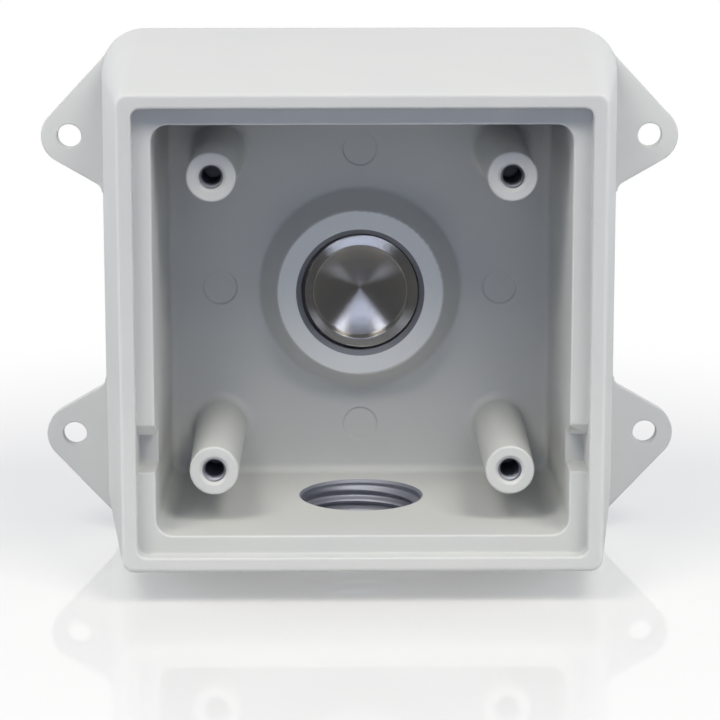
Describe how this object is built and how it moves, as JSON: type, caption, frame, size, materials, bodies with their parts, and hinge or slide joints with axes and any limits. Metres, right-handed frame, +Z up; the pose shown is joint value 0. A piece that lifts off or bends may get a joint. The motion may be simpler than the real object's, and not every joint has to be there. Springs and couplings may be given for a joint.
{
  "type": "camera junction box",
  "caption": "Square die-cast junction box for a camera, with wall ears, screw posts, a gasket ledge, a threaded bottom entry and a plugged rear entry.",
  "frame": {"origin": "centre of the wall face, midway between the four ear holes", "axes": "+Z up, +X to the right seen from the open front, the open front faces -Y and the wall face +Y"},
  "size_m": [0.1132, 0.05, 0.092],
  "materials": {
    "white_powder_coat": "fine satin powder coat on die-cast aluminium",
    "turned_aluminium": "bare, finely turned on a lathe",
    "black_rubber": "moulded flat washer"
  },
  "bodies": {
    "root": {"housing": "white_powder_coat", "rear_plug": "turned_aluminium", "plug_washer": "black_rubber"}
  },
  "joints": []
}
